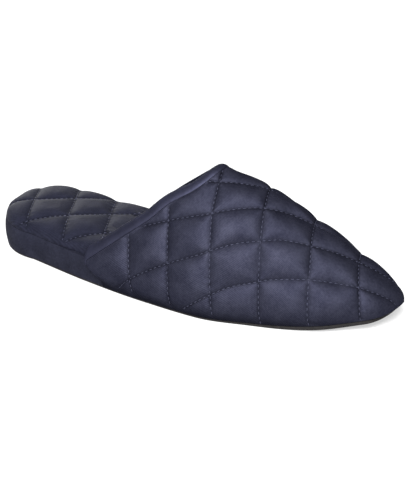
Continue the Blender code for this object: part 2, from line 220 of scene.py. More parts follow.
# stitch lines counted in whole numbers over the vamp's length and girth, in tenths of a metre
vampLay = {"girth": 0.0106, "ribPitch": 0.31, "ribStart": 0.467, "ribLean": 0.299, "ribBend": 0.033,
           "ribFan": 0.06,
           "farFan": 0.093, "farFrom": 0.22, "farShift": 0.032, "farWidth": 0.35,  # ribs beyond the ridge
           "rowPitch": 0.205, "rowStart": 0.235, "rowLean": 0.601, "rowBend": 0.025, "rowFan": 0.075,
           "rowSag": 0.221}


def vampQuilt(points, ridge):
    lay = vampLay
    x = points[..., 0] / 100
    ridgeX, ridgeY, ridgeZ = ridge
    offset = points[..., 1] - np.interp(points[..., 0], ridgeX, ridgeY)
    drop = np.maximum(np.interp(points[..., 0], ridgeX, ridgeZ) - points[..., 2], 0)
    girth = np.sign(offset) * np.hypot(offset, drop) * lay["girth"]
    ribs = x + lay["ribLean"] * girth + lay["ribBend"] * girth**2 - lay["ribFan"] * x * girth
    ribs = (ribs + lay["ribStart"]) / lay["ribPitch"]
    beyond = smoothStep((girth + lay["farWidth"]) / lay["farWidth"])
    ribs = ribs + (lay["farFan"] * (x - lay["farFrom"]) - lay["farShift"]) / lay["ribPitch"] * beyond
    sag = lay["rowSag"] * girth * np.abs(girth)
    rows = girth - lay["rowLean"] * x + lay["rowBend"] * x**2 + lay["rowFan"] * x * girth
    return ribs, (rows - sag + lay["rowStart"]) / lay["rowPitch"]


insoleLay = {"ribPitch": 27.4, "ribStart": 112.7, "ribLean": 0.39,
             "rowPitch": 28.5, "rowStart": 67.5, "rowLean": 0.6}  # the same for the insole, in millimetres


def insoleQuilt(points):
    lay = insoleLay
    ribs = (points[..., 0] + lay["ribLean"] * points[..., 1] + lay["ribStart"]) / lay["ribPitch"]
    rows = (lay["rowStart"] + lay["rowLean"] * points[..., 0] - points[..., 1]) / lay["rowPitch"]
    return ribs, rows


def toMetres(points):
    return (np.asarray(points) + np.array(last["centre"])) * 0.001


# a grid primitive laid over a surface: rows run from the lateral to the medial side, columns forward
def layGrid(name, points, weave=None, paintedShade=None):
    rows, columns = points.shape[:2]
    bpy.ops.object.select_all(action="DESELECT")
    bpy.ops.mesh.primitive_grid_add(x_subdivisions=columns - 1, y_subdivisions=rows - 1, size=0.1)
    piece = bpy.context.object
    piece.name = name
    piece.data.name = name
    piece.data.vertices.foreach_set("co", toMetres(points).ravel())
    piece.data.uv_layers[0].name = "weave"
    if weave is not None:
        corners = np.zeros(len(piece.data.loops), dtype=np.int32)
        piece.data.loops.foreach_get("vertex_index", corners)
        threads = weave.reshape(-1, 2)[corners] * 0.001
        piece.data.uv_layers["weave"].data.foreach_set("uv", threads.ravel())
    # painted shade: a per-point share of the shade colour, for the stitch channels and the hem
    shade = piece.data.attributes.new("paintedShade", "FLOAT", "POINT")
    if paintedShade is not None:
        shade.data.foreach_set("value", paintedShade.ravel().astype(np.float32))
    piece.data.update()
    return piece


def selectOnly(*pieces):
    bpy.ops.object.select_all(action="DESELECT")
    for piece in pieces:
        piece.select_set(True)
    bpy.context.view_layer.objects.active = pieces[0]


def mergeDoubles(piece, threshold):
    selectOnly(piece)
    bpy.ops.object.mode_set(mode="EDIT")
    bpy.ops.mesh.select_all(action="SELECT")
    bpy.ops.mesh.remove_doubles(threshold=threshold)
    bpy.ops.object.mode_set(mode="OBJECT")


def fillEnds(piece):
    selectOnly(piece)
    bpy.ops.object.mode_set(mode="EDIT")
    bpy.ops.mesh.select_mode(type="EDGE")
    bpy.ops.mesh.select_all(action="DESELECT")
    bpy.ops.mesh.select_non_manifold(extend=False, use_wire=False, use_boundary=True,
                                     use_multi_face=False, use_non_contiguous=False, use_verts=False)
    bpy.ops.mesh.fill_holes(sides=0)
    bpy.ops.mesh.select_all(action="SELECT")
    bpy.ops.mesh.normals_make_consistent(inside=False)
    bpy.ops.object.mode_set(mode="OBJECT")


# a closed tube from rings: its section goes round the grid's rows, its ends are filled
def layTube(name, rings, weave, paintedShade=None):
    shade = np.zeros(weave.shape[:2]) if paintedShade is None else paintedShade
    rounds = [np.concatenate([values, values[:, :1]], axis=1).swapaxes(0, 1)
              for values in (np.asarray(rings), weave, shade)]
    piece = layGrid(name, *rounds)
    mergeDoubles(piece, 0.00001)
    fillEnds(piece)
    return piece


# lays a skin and its lining as one grid that turns round the rear edge; rows of midpoints close the hem
def layWall(name, skin, lining, weave, paintedShade):
    across = np.concatenate([lining[:, ::-1], skin], axis=1)
    hem = (skin + lining)[[0, -1]] / 2
    hem = np.concatenate([hem[:, ::-1], hem], axis=1)
    threads = np.concatenate([weave[:, ::-1], weave], axis=1)
    shade = np.concatenate([np.zeros_like(paintedShade), paintedShade], axis=1)
    ends = ((1, 1), (0, 0))
    piece = layGrid(name, np.concatenate([hem[:1], across, hem[1:]]),
                    np.pad(threads, (*ends, (0, 0)), mode="edge"), np.pad(shade, ends, mode="edge"))
    columns = skin.shape[1]
    facing = np.zeros((len(skin) + 1, 2 * columns - 1), dtype=np.int32)
    facing[:, :columns - 1] = 1
    piece.data.polygons.foreach_set("material_index", facing.ravel())
    mergeDoubles(piece, 0.000001)
    return piece


def shadeSmooth(piece, angle=60):
    selectOnly(piece)
    bpy.ops.object.shade_smooth_by_angle(angle=math.radians(angle))


def fitOut(piece, node, slot, *materials):
    for material in materials:
        piece.data.materials.append(material)
    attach(piece, "root")
    if node:
        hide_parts(node)


# outward directions of a grid; a folded grid's halves meet at its last column, over the toe
def gridNormals(points, folded=False):
    along = np.gradient(points, axis=1)
    if folded:
        along[:, -1] = (points[::-1, -2] - points[:, -2]) / 2
    return unit(np.cross(along, np.gradient(points, axis=0)))


# mean over a few neighbours along one axis, running on over a folded grid's last column
def easeGrid(values, reach, axis, folded=False):
    kernel = np.exp(-0.5 * (np.arange(-3 * reach, 3 * reach + 1) / reach) ** 2)
    width = values.shape[1]
    if axis == 1 and folded:
        values = np.concatenate([values, values[::-1, -2::-1]], axis=1)
    ends = [(3 * reach, 3 * reach) if k == axis else (0, 0) for k in range(values.ndim)]
    padded = np.pad(values, ends, mode="edge")
    length = values.shape[axis]
    total = sum(weight * np.take(padded, range(k, k + length), axis=axis)
                for k, weight in enumerate(kernel))
    return (total / kernel.sum())[:, :width]


# rounds a grid off around one place: each point moves to the mean of the surface within reach of it
def roundOver(points, place, full, fade, reach):
    flat = points.reshape(-1, 3)
    cells = np.cross(np.gradient(points, axis=1), np.gradient(points, axis=0))
    cells = np.linalg.norm(cells, axis=-1).ravel()
    away = np.linalg.norm(flat - np.array(place), axis=1)
    around = np.nonzero(away < fade + 3 * reach)[0]
    rounded = flat.copy()
    for some in np.array_split(np.nonzero(away < fade)[0], 16):
        apart = (flat[some] ** 2).sum(1)[:, None] + (flat[around] ** 2).sum(1)[None]
        apart = apart - 2 * flat[some] @ flat[around].T
        weights = np.exp(-0.5 * np.maximum(apart, 0) / reach**2) * cells[around]
        mean = weights @ flat[around] / weights.sum(1, keepdims=True)
        share = smoothStep((fade - away[some]) / (fade - full))[:, None]
        rounded[some] = flat[some] + (mean - flat[some]) * share
    return rounded.reshape(points.shape)


quilt = {
    "pitch": 25.5, "round": 2.6, "ditch": 0.6, "ditchWidth": 0.7,  # shoulder radius, the thread's own ditch
    "pucker": 0.12, "puckerPitch": 4.2, "puckerReach": 2.6,  # gathers across each stitch line
    "unevenness": 0.16, "calmReach": 1.2, "sewnReach": 0.7, "probe": 0.3, "steepness": (0.025, 0.07),
    "stitchLength": 1.9, "stitchPitch": 3.1, "stitchWidth": 0.38, "stitchBow": 0.22, "shortestRun": 6,
    "heldBelow": 0.3,  # calm under which cloth is held down and no stitch is sewn
}


# millimetres to the nearest stitch line: how far an index is from a whole number, by its slope on the surface
def lineDistance(measure, which, points, normals, lowest=-99):
    index = measure(points)[which]
    change = np.zeros_like(points)
    for axis in range(3):
        step = np.zeros(3)
        step[axis] = quilt["probe"]
        across = measure(points + step)[which] - measure(points - step)[which]
        change[..., axis] = across / (2 * quilt["probe"])
    change = change - (change * normals).sum(-1, keepdims=True) * normals
    steep = np.clip(np.linalg.norm(change, axis=-1), *quilt["steepness"])
    return np.abs(index - np.maximum(np.round(index), lowest)) / steep


def pillowHeight(ribs, rows, ribGap, rowGap, points, rise, sink):
    nearest = np.minimum(ribGap, rowGap)
    pillow = (1 - np.exp(-ribGap / quilt["round"])) * (1 - np.exp(-rowGap / quilt["round"]))
    height = rise * pillow - sink - quilt["ditch"] * np.exp(-((nearest / quilt["ditchWidth"]) ** 2))
    wave = 2 * math.pi * quilt["pitch"] / quilt["puckerPitch"]
    gather = np.sin(rows * wave + 2 * np.sin(ribs * 3)) * np.exp(-ribGap / quilt["puckerReach"])
    gather = gather + np.sin(ribs * wave + 2 * np.sin(rows * 3)) * np.exp(-rowGap / quilt["puckerReach"])
    inside = 1 - np.exp(-nearest / quilt["calmReach"])
    height = height + quilt["pucker"] * gather * inside
    x, y, z = points[..., 0], points[..., 1], points[..., 2]
    uneven = np.sin(x / 7.1 + y / 11.3 + 1.3) + np.sin(y / 6.2 - z / 8.7 + 0.4)  # slow waves, no two alike
    uneven = uneven + np.sin(z / 9.1 - x / 12.7)
    return height + quilt["unevenness"] * uneven / 3 * inside


fill = {"scale": 0.01, "mass": 0.004, "stiffness": 15.0, "bending": 0.3, "drag": 5.0, "quality": 4,
        "frames": 10}
drawnShare = 0.35


# blows a quilted grid up as cloth that its stitch lines hold down; no point moves further than its cap
def blowUp(points, sewn, pressure, cap):
    piece = layGrid("clothTrial", points)
    piece.data.vertices.foreach_set("co", (points * fill["scale"]).ravel())
    held = piece.vertex_groups.new(name="sewn")
    held.add([int(i) for i in np.nonzero(sewn.ravel())[0]], 1.0, "REPLACE")
    mergeDoubles(piece, 0.00001)
    rest = np.zeros(len(piece.data.vertices) * 3)
    piece.data.vertices.foreach_get("co", rest)
    rest = rest.reshape(-1, 3)
    finder = KDTree(len(rest))
    for i, place in enumerate(rest):
        finder.insert(place, i)
    finder.balance()
    cloth = piece.modifiers.new("padding", "CLOTH")
    cloth.settings.quality = fill["quality"]
    cloth.settings.mass = fill["mass"]
    cloth.settings.air_damping = fill["drag"]
    cloth.settings.tension_stiffness = fill["stiffness"]
    cloth.settings.compression_stiffness = fill["stiffness"]
    cloth.settings.shear_stiffness = fill["stiffness"] / 2
    cloth.settings.bending_stiffness = fill["bending"]
    cloth.settings.use_pressure = True
    cloth.settings.uniform_pressure_force = pressure
    cloth.settings.vertex_group_mass = "sewn"
    cloth.settings.effector_weights.gravity = 0.0
    cloth.collision_settings.use_collision = False
    cloth.point_cache.frame_start = 1
    cloth.point_cache.frame_end = fill["frames"]
    for step in range(1, fill["frames"] + 1):
        bpy.context.scene.frame_set(step)
    bpy.ops.object.modifier_apply(modifier="padding")
    blown = np.zeros(rest.size)
    piece.data.vertices.foreach_get("co", blown)
    bpy.data.objects.remove(piece)
    bpy.context.scene.frame_set(1)
    moved = (blown.reshape(-1, 3) - rest) / fill["scale"]
    nearest = [finder.find(place)[1] for place in points.reshape(-1, 3) * fill["scale"]]
    moved = moved[nearest].reshape(points.shape)
    length = np.linalg.norm(moved, axis=-1, keepdims=True)
    print("padding blown up by at most", round(float(length.max()), 2), "mm before its cap")
    return points + moved * np.minimum(1, cap[..., None] / np.maximum(length, 1e-6))


# walks every whole-number line of an index over the grid; gives points and normals along it
def stitchLines(index, points, normals, keep, lowest=-99):
    lines = []
    for level in range(max(math.ceil(index.min()), lowest), math.floor(index.max()) + 1):
        above = index >= level
        flat = np.zeros_like(above)
        flat[:-1, :-1] = ((above[:-1, :-1] != above[1:, :-1]) | (above[:-1, :-1] != above[:-1, 1:])
                          | (above[:-1, :-1] != above[1:, 1:]))
        links = {}
        for i, j in zip(*np.nonzero(flat[:-1, :-1])):
            corners = ((i, j), (i, j + 1), (i + 1, j + 1), (i + 1, j))
            crossed = []
            for a, b in zip(corners, corners[1:] + corners[:1]):
                if above[a] != above[b]:
                    crossed.append((min(a, b), max(a, b)))
            if len(crossed) == 2:
                links.setdefault(crossed[0], []).append(crossed[1])
                links.setdefault(crossed[1], []).append(crossed[0])
        unused = set(links)
        starts = sorted(edge for edge in links if len(links[edge]) == 1)
        for start in starts + sorted(links):
            if start not in unused:
                continue
            chain = [start]
            unused.discard(start)
            while True:
                ahead = [edge for edge in links[chain[-1]] if edge in unused]
                if not ahead:
                    break
                chain.append(ahead[0])
                unused.discard(ahead[0])
            if len(chain) < quilt["shortestRun"]:
                continue
            path, lift, kept = [], [], []
            for a, b in chain:
                t = (level - index[a]) / (index[b] - index[a])
                path.append(points[a] * (1 - t) + points[b] * t)
                lift.append(normals[a] * (1 - t) + normals[b] * t)
                kept.append(keep[a] * (1 - t) + keep[b] * t)
            lines.append((np.array(path), unit(np.array(lift)), np.array(kept)))
    return lines


# one short thread, modelled once, then copied along the lines into one mesh
def sewStitches(name, lines, lifted):
    bpy.ops.object.select_all(action="DESELECT")
    bpy.ops.mesh.primitive_uv_sphere_add(segments=6, ring_count=4, radius=0.5)
    piece = bpy.context.object
    piece.name = name
    piece.data.name = name
    bpy.ops.object.mode_set(mode="EDIT")
    bpy.ops.mesh.select_all(action="SELECT")
    bpy.ops.transform.rotate(value=math.pi / 2, orient_axis="Y", center_override=(0, 0, 0))
    bpy.ops.transform.resize(value=(quilt["stitchLength"], quilt["stitchWidth"], quilt["stitchWidth"]))
    bpy.ops.object.mode_set(mode="OBJECT")
    shape = np.array([vertex.co for vertex in piece.data.vertices])
    faces = [tuple(face.vertices) for face in piece.data.polygons]
    allPoints, allFaces = [], []
    for path, lift, kept in lines:
        gone = np.concatenate([[0], np.cumsum(np.linalg.norm(np.diff(path, axis=0), axis=1))])
        for at in np.arange(quilt["stitchPitch"] / 2, gone[-1], quilt["stitchPitch"]):
            if np.interp(at, gone, kept) < quilt["heldBelow"]:
                continue
            centre = np.array([np.interp(at, gone, path[:, k]) for k in range(3)])
            before = np.array([np.interp(at - 1, gone, path[:, k]) for k in range(3)])
            after = np.array([np.interp(at + 1, gone, path[:, k]) for k in range(3)])
            normal = unit(np.array([np.interp(at, gone, lift[:, k]) for k in range(3)]))
            along = unit(after - before)
            side = unit(np.cross(normal, along))
            normal = np.cross(along, side)
            bowed = shape[:, 2] - quilt["stitchBow"] * (shape[:, 0] / quilt["stitchLength"] * 2) ** 2
            placed = centre + shape[:, :1] * along + shape[:, 1:2] * side + (bowed[:, None] + lifted) * normal
            allFaces.extend(tuple(v + len(allPoints) * len(shape) for v in face) for face in faces)
            allPoints.append(placed)
    mesh = bpy.data.meshes.new(name)
    mesh.from_pydata(toMetres(np.concatenate(allPoints)).tolist(), [], allFaces)
    piece.data = mesh
    shadeSmooth(piece, 80)
    return piece


def hexColour(code):
    parts = [int(code[i:i + 2], 16) / 255 for i in (1, 3, 5)]
    return tuple(c / 12.92 if c <= 0.04045 else ((c + 0.055) / 1.055) ** 2.4 for c in parts) + (1.0,)


def addNode(tree, kind, settings=None, links=None):
    node = tree.nodes.new(kind)
    for key, value in (settings or {}).items():
        if isinstance(key, int) or key in node.inputs:
            node.inputs[key].default_value = value
        else:
            setattr(node, key, value)
    for key, (other, output) in (links or {}).items():
        tree.links.new(other.outputs[output], node.inputs[key])
    return node


# what the finishes share unless they give their own, with sizes in millimetres
satin = {"shadeColour": "#0d0e13", "glint": "#5b5d70", "specular": 0.3, "cloudSize": 9.0, "twill": 1.1,
         "twillTone": 0.3, "twillStrength": 0.25, "slub": 1.1, "slubTone": 0.8, "slubStrength": 0.4}


# twill and slubs show as fine slanting lines and specks; the shade attribute laid with each grid is painted
# shade, darkening the colour along the stitch channels and the hem
def makeFinish(name, own):
    finish = {**satin, **own}
    material = bpy.data.materials.new(name)
    material.use_nodes = True
    tree = material.node_tree
    shader = tree.nodes["Principled BSDF"]
    shader.inputs["Metallic"].default_value = finish["metallic"]
    shader.inputs["Roughness"].default_value = finish["roughness"]
    shader.inputs["Specular IOR Level"].default_value = finish["specular"]
    shader.inputs["Specular Tint"].default_value = hexColour(finish["glint"])
    place = addNode(tree, "ShaderNodeTexCoord")
    weave = addNode(tree, "ShaderNodeUVMap", {"uv_map": "weave"})
    paintedShade = addNode(tree, "ShaderNodeAttribute", {"attribute_name": "paintedShade"})
    cloud = addNode(tree, "ShaderNodeTexNoise",
                    {"Scale": 1000 / finish["cloudSize"], "Detail": 4.0, "Roughness": 0.6},
                    {"Vector": (place, "Object")})
    # twill at 0.5 mm in the real cloth is too fine to show, so it is drawn at finish["twill"]
    twill = addNode(tree, "ShaderNodeTexWave", {"wave_type": "BANDS", "bands_direction": "DIAGONAL",
                                                "Scale": 2 * math.pi * 1000 / (10 * finish["twill"]),
                                                "Distortion": 0.8, "Detail": 1.0, "Detail Scale": 0.4},
                    {"Vector": (weave, "UV")})
    slub = addNode(tree, "ShaderNodeTexNoise", {"Scale": 1000 / finish["slub"], "Detail": 2.0},
                   {"Vector": (place, "Object")})
    thread = addNode(tree, "ShaderNodeMath", {"operation": "MULTIPLY_ADD", 1: finish["twillTone"]},
                     {0: (twill, "Fac"), 2: (cloud, "Fac")})
    tone = addNode(tree, "ShaderNodeMath", {"operation": "MULTIPLY_ADD", 1: finish["slubTone"]},
                   {0: (slub, "Fac"), 2: (thread, "Value")})
    darkest = 0.25 + 0.5 * finish["slubTone"]
    palest = 0.75 + finish["twillTone"] + 0.5 * finish["slubTone"]
    dye = addNode(tree, "ShaderNodeMapRange", {"From Min": darkest, "From Max": palest},
                  {"Value": (tone, "Value")})
    cloth = addNode(tree, "ShaderNodeMix",
                    {"data_type": "RGBA", 6: hexColour(finish["deep"]), 7: hexColour(finish["pale"])},
                    {0: (dye, "Result")})
    # painted shade: the shade colour is mixed into the cloth's colour by the attribute's share
    shadeColour = addNode(tree, "ShaderNodeMix", {"data_type": "RGBA", 7: hexColour(finish["shadeColour"])},
                   {0: (paintedShade, "Fac"), 6: (cloth, 2)})
    tree.links.new(shadeColour.outputs[2], shader.inputs["Base Color"])
    grain = addNode(tree, "ShaderNodeBump", {"Strength": finish["twillStrength"], "Distance": 0.0002},
                    {"Height": (twill, "Fac")})
    skin = addNode(tree, "ShaderNodeBump", {"Strength": finish["slubStrength"], "Distance": 0.0003},
                   {"Height": (slub, "Fac"), "Normal": (grain, "Normal")})
    tree.links.new(skin.outputs["Normal"], shader.inputs["Normal"])
    return material


# polyester satin: long floats shine in their own dye, so its broad gloss is tinted as a metal's is
vampSatin = makeFinish("quiltedPolyesterSatin", {
    "deep": "#222330", "pale": "#3a3b49", "metallic": 0.9, "roughness": 0.67})
# brushed satin: its lifted fibres scatter most of the light, so the footbed is even and matt
footbedSatin = makeFinish("brushedFootbedSatin", {
    "deep": "#14151e", "pale": "#252633", "metallic": 0.3, "roughness": 0.7})
# satin cut on the bias and pressed over a fold: tighter and glossier than the quilting
bindingSatin = makeFinish("biasBindingSatin", {
    "deep": "#292a37", "pale": "#393a4b", "metallic": 0.85, "roughness": 0.6, "cloudSize": 8.0, "twill": 1.0,
    "twillStrength": 0.2, "slub": 1.2, "slubTone": 0.5, "slubStrength": 0.3})
# satin glued flat over the wedge: the same dye with less shine
wrapSatin = makeFinish("heelWrapSatin", {
    "deep": "#1a1b25", "pale": "#2f303d", "metallic": 0.6, "roughness": 0.7, "cloudSize": 10.0})
# brushed tricot: a short soft nap, dull and even inside the toe
liningTricot = makeFinish("brushedTricotLining", {
    "deep": "#262733", "pale": "#3a3b49", "metallic": 0.0, "roughness": 0.85, "specular": 0.1,
    "cloudSize": 6.0, "twill": 1.2, "twillStrength": 0.3, "slub": 1.0, "slubTone": 0.6, "slubStrength": 0.5})
# spun thread: a twisted round yarn that catches a small light on top; it is coloured a shade paler than the
# cloth, partly its own colour and partly a painted highlight for that light
threadPolyester = makeFinish("spunPolyesterThread", {
    "deep": "#333443", "pale": "#4f5164", "shadeColour": "#333443", "glint": "#d8dbff", "metallic": 0.3,
    "roughness": 0.5, "specular": 0.4, "cloudSize": 3.0, "twill": 0.8, "twillStrength": 0.2, "slub": 0.8,
    "slubTone": 0.4, "slubStrength": 0.2})
# soft moulded rubber: matt, a little brown, with a fine pebbled skin drawn by the slubs
soleRubber = makeFinish("mouldedSoftRubber", {
    "deep": "#171617", "pale": "#262424", "shadeColour": "#121112", "glint": "#ffffff", "metallic": 0.0,
    "roughness": 0.8, "specular": 0.2, "cloudSize": 3.0, "twill": 3.0, "twillTone": 0.1,
    "twillStrength": 0.1, "slub": 0.9, "slubTone": 0.6, "slubStrength": 0.9})
print("materials made")

# the vamp: a quilted outer and a smooth lining, one closed wall
# the hem's painted shade: its strength and the heights it fades over
vamp = {"columns": 181, "rows": 241, "rearCrowd": 1.15, "hemCalm": 0.06, "rearCalm": 0.012, "hemShade": 0.6,
        "pressure": 480.0, "cap": 2.0, "stitchLift": 0.2, "channelShade": 0.7, "channelWidth": 0.6,
        "rise": 1.4, "ridgeRise": 0.7, "sink": 0.9, "ridgeSink": 0.4,  # pillows stand higher over the instep
        "ridgeBlur": 7, "ridgeReach": 30, "crownBlur": 4,  # columns and rows that the ridge is eased over
        "blurFrom": (0.2, 0.35), "crownFrom": (1.0, 0.3), "crownShare": 0.15, "instepFrom": (0.35, 0.5),
        "toeCalm": 0.55, "toeFrom": (114, 16), "hemShadeFrom": (2, 9),  # each start and length of a ramp
        # where the collar's ridge runs out on the toe: place, full, fade, reach
        "roundOver": ((70, 6.5, 51), 16, 32, 5)}
shares = np.linspace(0, 1, vamp["columns"]) ** vamp["rearCrowd"]
sweep = np.linspace(0, math.pi, vamp["rows"])
gridSweep, gridShare = np.meshgrid(sweep, shares, indexing="ij")
nearSide = gridSweep <= math.pi / 2 + 1e-9
gridLine = np.where(nearSide, gridShare / 2, 1 - gridShare / 2)
gridAngle = np.where(nearSide, gridSweep, math.pi - gridSweep)
smoothVamp = vampPoint(gridLine, gridAngle)
middleRow = vamp["rows"] // 2
softened = easeGrid(smoothVamp, vamp["ridgeBlur"], 1, folded=True)
blurShare = smoothStep(1 - (vamp["columns"] - 1 - np.arange(vamp["columns"])) / vamp["ridgeReach"])
blurShare = blurShare[None] * ramp(gridAngle, *vamp["blurFrom"])
smoothVamp = smoothVamp + (softened - smoothVamp) * blurShare[..., None]  # no crease over the toe
crownShare = ramp(gridAngle, *vamp["crownFrom"]) * smoothStep(gridShare / vamp["crownShare"])
smoothVamp = smoothVamp + (easeGrid(smoothVamp, vamp["crownBlur"], 0) - smoothVamp) * crownShare[..., None]
smoothVamp = roundOver(smoothVamp, *vamp["roundOver"])
smoothVamp[:, -1] = (smoothVamp[:, -1] + smoothVamp[::-1, -1]) / 2
vampOut = gridNormals(smoothVamp, folded=True)
vampOut[:, -1] = unit(vampOut[:, -1] + vampOut[::-1, -1])
vampOut[middleRow] = unit(vampOut[middleRow - 1] + vampOut[middleRow + 1])
vampOut = unit(easeGrid(easeGrid(vampOut, 2, 0), 2, 1, folded=True))
vampOut[:, -1] = unit(vampOut[:, -1] + vampOut[::-1, -1])
# along the spine, then down the toe
crest = np.concatenate([smoothVamp[middleRow], smoothVamp[middleRow - 1::-1, -1]])
crest = crest[:crest[:, 0].argmax() + 1]
ridge = np.concatenate([np.array(last["quiltRidge"]), crest]).T
vampMeasure = partial(vampQuilt, ridge=ridge)
vampRibs, vampRows = vampMeasure(smoothVamp)
ribGap = lineDistance(vampMeasure, 0, smoothVamp, vampOut, lowest=0)
rowGap = lineDistance(vampMeasure, 1, smoothVamp, vampOut)
vampCalm = smoothStep(gridAngle / vamp["hemCalm"]) * smoothStep(gridShare / vamp["rearCalm"])
vampCalm = vampCalm * (1 - vamp["toeCalm"] * ramp(smoothVamp[..., 0], *vamp["toeFrom"]))
instep = ramp(vampOut[..., 2], *vamp["instepFrom"])
vampRise = vamp["rise"] + vamp["ridgeRise"] * instep
vampSink = vamp["sink"] + (vamp["ridgeSink"] - vamp["sink"]) * instep
vampHeight = pillowHeight(vampRibs, vampRows, ribGap, rowGap, smoothVamp, vampRise * drawnShare, vampSink)
vampHeight = vampHeight * vampCalm
vampHeight[:, -1] = (vampHeight[:, -1] + vampHeight[::-1, -1]) / 2
outerVamp = smoothVamp + vampOut * vampHeight[..., None]
lineGap = np.minimum(ribGap, rowGap)
sewnVamp = (lineGap < quilt["sewnReach"]) | (vampCalm < quilt["heldBelow"])
outerVamp = blowUp(outerVamp, sewnVamp, vamp["pressure"], vamp["cap"] * vampCalm)
innerVamp = smoothVamp - vampOut * wallDepth(gridLine, smoothVamp[..., 2])[..., None]
# painted shade: the colour darkens along each stitch line, where the channel falls into shade
vampPaintedShade = vamp["channelShade"] * np.exp(-((lineGap / vamp["channelWidth"]) ** 2)) * vampCalm
# painted shade: the colour darkens over the lowest few millimetres, where the hem curves under towards the
# floor
paintedHemShade = vamp["hemShade"] * (1 - ramp(smoothVamp[..., 2], *vamp["hemShadeFrom"]))
vampPaintedShade = np.maximum(vampPaintedShade, paintedHemShade)
weaveVamp = np.stack([vampRibs, vampRows], -1) * quilt["pitch"]
outerVamp[:, -1] = (outerVamp[:, -1] + outerVamp[::-1, -1]) / 2
innerVamp[:, -1] = (innerVamp[:, -1] + innerVamp[::-1, -1]) / 2
upper = layWall("quiltedVamp", outerVamp, innerVamp, weaveVamp, vampPaintedShade)
shadeSmooth(upper, 75)
fitOut(upper, "upper", "quilted_satin", vampSatin, liningTricot)
print("vamp quilted", len(upper.data.polygons))

vampLines = stitchLines(vampRibs, outerVamp, vampOut, vampCalm, lowest=0)
vampLines = vampLines + stitchLines(vampRows, outerVamp, vampOut, vampCalm)
vampStitches = sewStitches("vampStitches", vampLines, vamp["stitchLift"])
fitOut(vampStitches, None, "quilted_satin", threadPolyester)
print("vamp stitched", len(vampStitches.data.polygons))

# the insole: a quilted cushion with rounded sides
insole = {"rows": 121, "heelRings": 75, "lineRings": 65, "inset": 0.5, "drawIn": 2.2, "sideGap": 0.9,
          "endLine": 0.425, "shoulder": 3.2, "heelRound": 20.0, "edgeCalm": 0.02, "pressure": 250.0,
          "cap": 1.3, "rise": 1.35, "sink": 0.6, "stitchLift": 0.15, "channelShade": 0.8, "channelWidth": 0.75,
          "rearGap": 4, "sideRise": 2.0, "joinFrom": (-85, 30), "calmFrom": (0.8, 4)}
edges = []
rearX = last["wingX"][-1] - last["wingLean"]
for turn in np.radians(np.linspace(3, 90, insole["heelRings"])):
    x = last["heelX"] + (rearX - insole["rearGap"] - last["heelX"]) * (1 - math.cos(turn))
    blend = ramp(x, *insole["joinFrom"])
    pair = []
    for side in (-1, 1):
        station = x + blend * (last["wingX"][side] - last["wingX"][-1])
        px, py = planPoint(station, side, -insole["inset"] - insole["drawIn"] * blend)
        pair.append((px, py))
    edges.append(pair)
for line in np.linspace(0.01, insole["endLine"], insole["lineRings"]):
    height = readTable(last["footbed"], 1, vampFoot(line)[0]) + last["gap"] + insole["sideRise"]
    clearance = insole["sideGap"] + last["wall"] - wallDepth(line, 0.0)
    edges.append([insidePoint(line, height, clearance)[:2], insidePoint(1 - line, height, clearance)[:2]])
edges = np.array(edges, dtype=float)
middle = edges.mean(1)
half = (edges[:, 1] - edges[:, 0]) / 2
crosswise = np.cos(np.linspace(math.pi, 0, insole["rows"]))
base = readTable(last["footbed"], 1, middle[:, 0]) + last["gap"]
heelEnd = np.clip(1 - (middle[:, 0] - last["heelX"] - insole["inset"]) / insole["heelRound"], 0, 1)
crown = readTable(last["footbed"], 2, middle[:, 0]) * np.sqrt(1 - heelEnd ** insole["shoulder"])
plan = middle[None] + half[None] * crosswise[:, None, None]
rise = crown[None] * np.sqrt(np.maximum(1 - np.abs(crosswise[:, None]) ** insole["shoulder"], 0))
smoothInsole = np.concatenate([plan, (base[None] + rise)[..., None]], -1)
insoleOut = gridNormals(smoothInsole)
insoleRibs, insoleRows = insoleQuilt(smoothInsole)
ribGap = lineDistance(insoleQuilt, 0, smoothInsole, insoleOut)
rowGap = lineDistance(insoleQuilt, 1, smoothInsole, insoleOut, lowest=0)  # none across the heel's corner
insoleCalm = smoothStep((1 - np.abs(crosswise[:, None])) / insole["edgeCalm"])
insoleCalm = insoleCalm * ramp(rise, *insole["calmFrom"])
insoleHeight = pillowHeight(insoleRibs, insoleRows, ribGap, rowGap, smoothInsole,
                            insole["rise"] * drawnShare, insole["sink"])
insoleHeight = insoleHeight * insoleCalm
insoleTop = smoothInsole + insoleOut * insoleHeight[..., None]
lineGap = np.minimum(ribGap, rowGap)
sewnInsole = (lineGap < quilt["sewnReach"]) | (insoleCalm < quilt["heldBelow"])
insoleTop = blowUp(insoleTop, sewnInsole, insole["pressure"], insole["cap"] * insoleCalm)
insoleBottom = smoothInsole.copy()
insoleBottom[..., 2] = base[None]
# painted shade: the insole's colour darkens along each stitch line, where the channel falls into shade
insolePaintedShade = insole["channelShade"] * np.exp(-((lineGap / insole["channelWidth"]) ** 2)) * insoleCalm
weaveInsole = np.stack([insoleRibs, -insoleRows], -1) * quilt["pitch"]
rounds = np.concatenate([insoleTop, insoleBottom[::-1]]).transpose(1, 0, 2)
threads = np.concatenate([weaveInsole, weaveInsole[::-1]]).transpose(1, 0, 2)
shade = np.concatenate([insolePaintedShade, 0 * insolePaintedShade]).T
cushion = layTube("quiltedInsole", rounds, threads, shade)
shadeSmooth(cushion, 75)
fitOut(cushion, "insole", "footbed_satin", footbedSatin)
insoleLines = stitchLines(insoleRibs, insoleTop, insoleOut, insoleCalm)
insoleLines = insoleLines + stitchLines(insoleRows, insoleTop, insoleOut, insoleCalm, lowest=0)
insoleStitches = sewStitches("insoleStitches", insoleLines, insole["stitchLift"])
fitOut(insoleStitches, None, "footbed_satin", threadPolyester)
print("insole quilted", len(cushion.data.polygons), len(insoleStitches.data.polygons))


